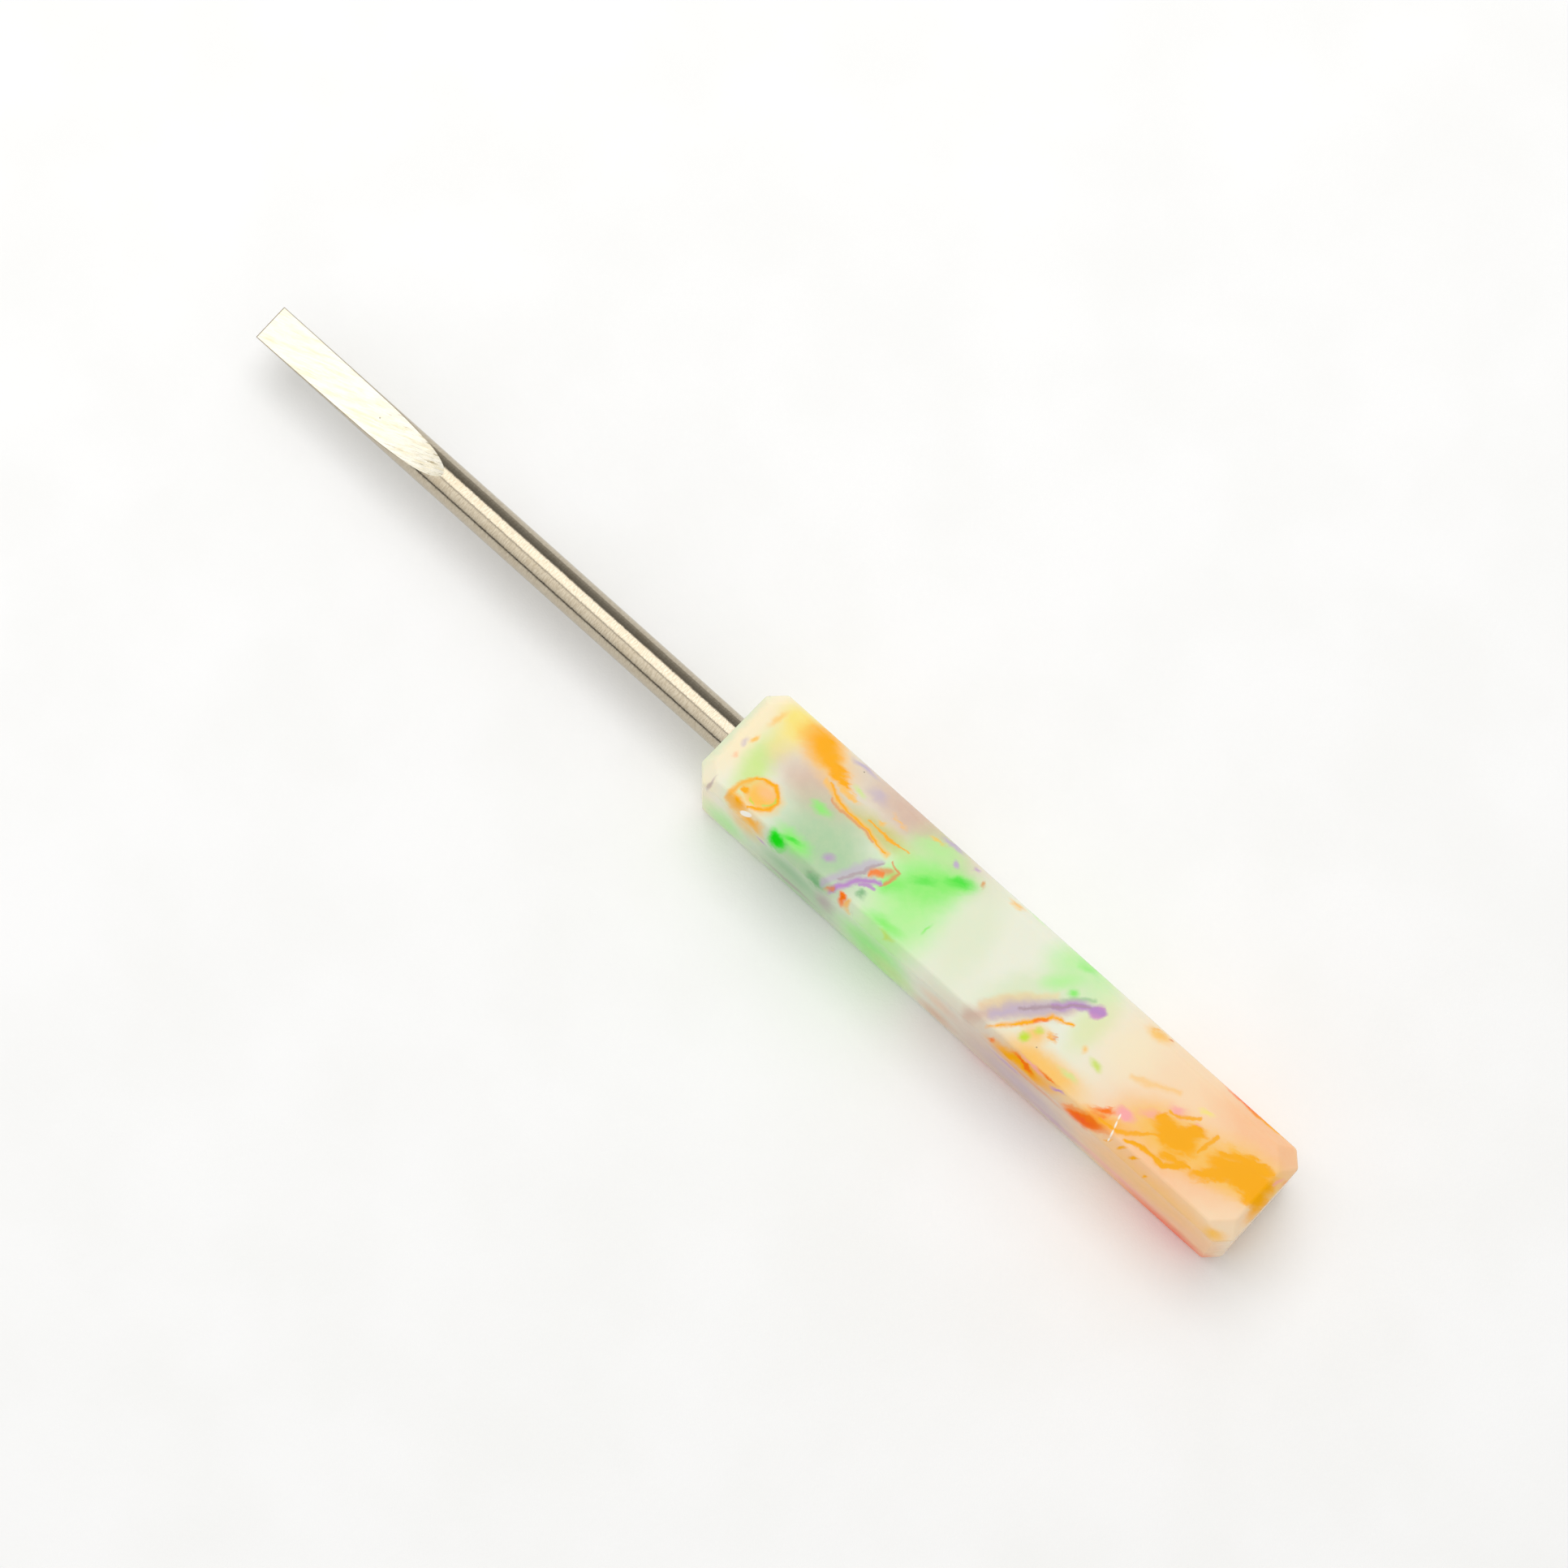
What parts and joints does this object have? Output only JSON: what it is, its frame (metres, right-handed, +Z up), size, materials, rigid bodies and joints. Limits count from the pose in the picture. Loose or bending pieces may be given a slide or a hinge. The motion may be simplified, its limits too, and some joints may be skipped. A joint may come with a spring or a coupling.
{
  "type": "spudger tool",
  "caption": "Slim prying tool: a round polished steel rod ground to a thin square-ended blade, glued into a bevelled rectangular handle of swirled cast resin.",
  "frame": {"origin": "on the handle's underside plane, under the middle of the tool's length and width", "axes": "+X along the tool towards the blade's tip, +Y across its width, +Z up from the handle's underside"},
  "size_m": [0.1512, 0.014, 0.0125],
  "materials": {
    "swirled_resin": "gloss",
    "polished_steel": "polished",
    "hardened_glue": "gloss"
  },
  "bodies": {
    "root": {"resin_handle": "swirled_resin", "steel_blade_shaft": "polished_steel", "glue_bond": "hardened_glue"}
  },
  "joints": []
}
